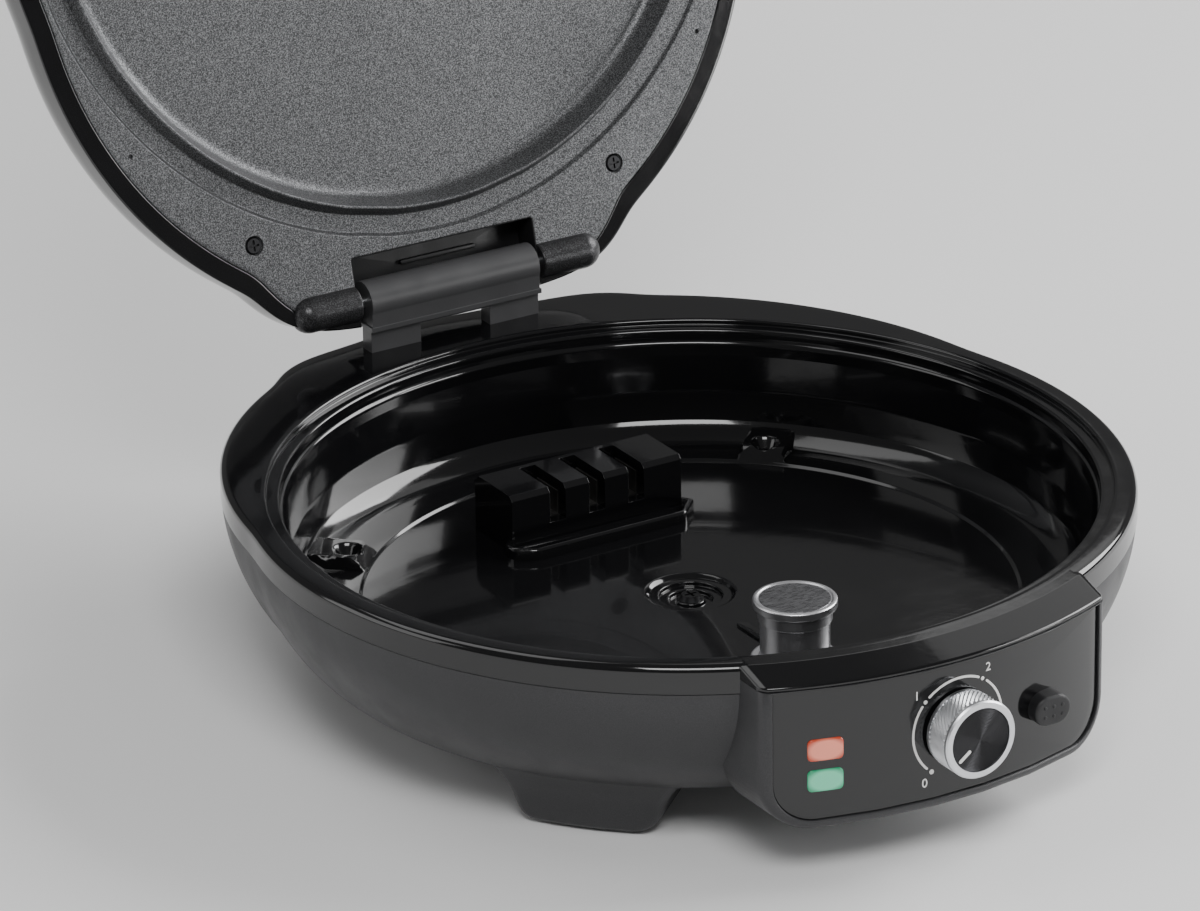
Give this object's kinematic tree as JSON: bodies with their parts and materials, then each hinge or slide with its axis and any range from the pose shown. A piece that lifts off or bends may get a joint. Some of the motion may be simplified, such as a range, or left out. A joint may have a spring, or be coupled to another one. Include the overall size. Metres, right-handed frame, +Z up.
{
  "type": "electric pizza maker",
  "caption": "round electric pizza maker standing open, hinged lid with cooking plate, bowl with pan socket and sprung sensor, control knob, lamps and push button",
  "frame": {"origin": "centre of the round base, on the table under the foot pads", "axes": "X across, Y from the control panel at -Y to the hinge at +Y, Z up from the table"},
  "size_m": [0.3608, 0.5246, 0.5102],
  "materials": {
    "lower_housing_grey": "satin, fine texture",
    "gloss_black": "high gloss",
    "satin_black": "satin",
    "rubber_black": "matte",
    "screw_black": "satin black",
    "steel": "satin",
    "chrome": "polished",
    "knob_silver": "bright turned and knurled",
    "orange_lens": "translucent",
    "green_lens": "translucent",
    "board_green": "satin",
    "lamp_glass": "clear",
    "white": "satin white",
    "ceramic": "matte",
    "brass": "bright",
    "copper_tan": "satin",
    "nonstick": "fine speckled non-stick coat on cast aluminium",
    "heater_steel": "heat-darkened",
    "shield_aluminium": "satin",
    "wire_red": "satin",
    "wire_white": "woven glass sleeve"
  },
  "bodies": {
    "base": {"lower_housing": "lower_housing_grey", "upper_housing": "gloss_black", "foot_pads": "rubber_black", "bowl_screws": "screw_black", "fascia": "gloss_black", "power_lens": "orange_lens", "ready_lens": "green_lens", "lamp_board": "board_green", "indicator_lamps": "lamp_glass", "control_body": "steel", "control_nut": "steel", "button_switch": "satin_black", "button_spring": "steel", "sensor_cup": "chrome", "sensor_spring": "steel", "terminal_block": "satin_black", "terminal_contacts": "brass", "hinge_guide": "satin_black", "guide_screws": "steel", "cord_gland": "rubber_black", "junction_block": "ceramic", "base_wires": "wire_red"},
    "hinge_bracket": {"hinge_bracket": "satin_black"},
    "lid": {"lid_shell": "gloss_black", "lid_plate": "nonstick", "hinge_pin": "steel", "plate_screws": "screw_black", "lid_heater": "heater_steel", "heater_clips": "steel", "heat_shield": "shield_aluminium", "lid_fuse": "steel", "lid_wires": "wire_white", "lid_handle": "gloss_black", "handle_screws": "steel"},
    "knob": {"knob": "knob_silver", "knob_disc": "gloss_black", "knob_pointer": "white", "control_shaft": "steel"},
    "push_button": {"push_button": "satin_black"},
    "sensor_head": {"sensor_head": "chrome", "thermistor": "copper_tan"}
  },
  "joints": [
    {"name": "hinge_float", "type": "slide", "parent": "base", "child": "hinge_bracket", "axis": [0, 0, 1], "range_m": [-0.0045, 0]},
    {"name": "lid_hinge", "type": "hinge", "parent": "hinge_bracket", "child": "lid", "pos_m": [0, 0.193, 0.1088], "axis": [1, 0, 0], "range_deg": [0, 104.5]},
    {"name": "knob_turn", "type": "hinge", "parent": "base", "child": "knob", "pos_m": [0, -0.2, 0.0545], "axis": [0, 1, 0], "range_deg": [0, 270]},
    {"name": "button_press", "type": "slide", "parent": "base", "child": "push_button", "axis": [0, 1, 0], "range_m": [0, 0.003], "stiffness_N_per_m": 400, "springref_m": -0.004, "deforming": ["button_spring"]},
    {"name": "sensor_press", "type": "slide", "parent": "base", "child": "sensor_head", "axis": [0, 0, -1], "range_m": [0, 0.003], "stiffness_N_per_m": 500, "springref_m": -0.004, "deforming": ["sensor_spring"]}
  ]
}
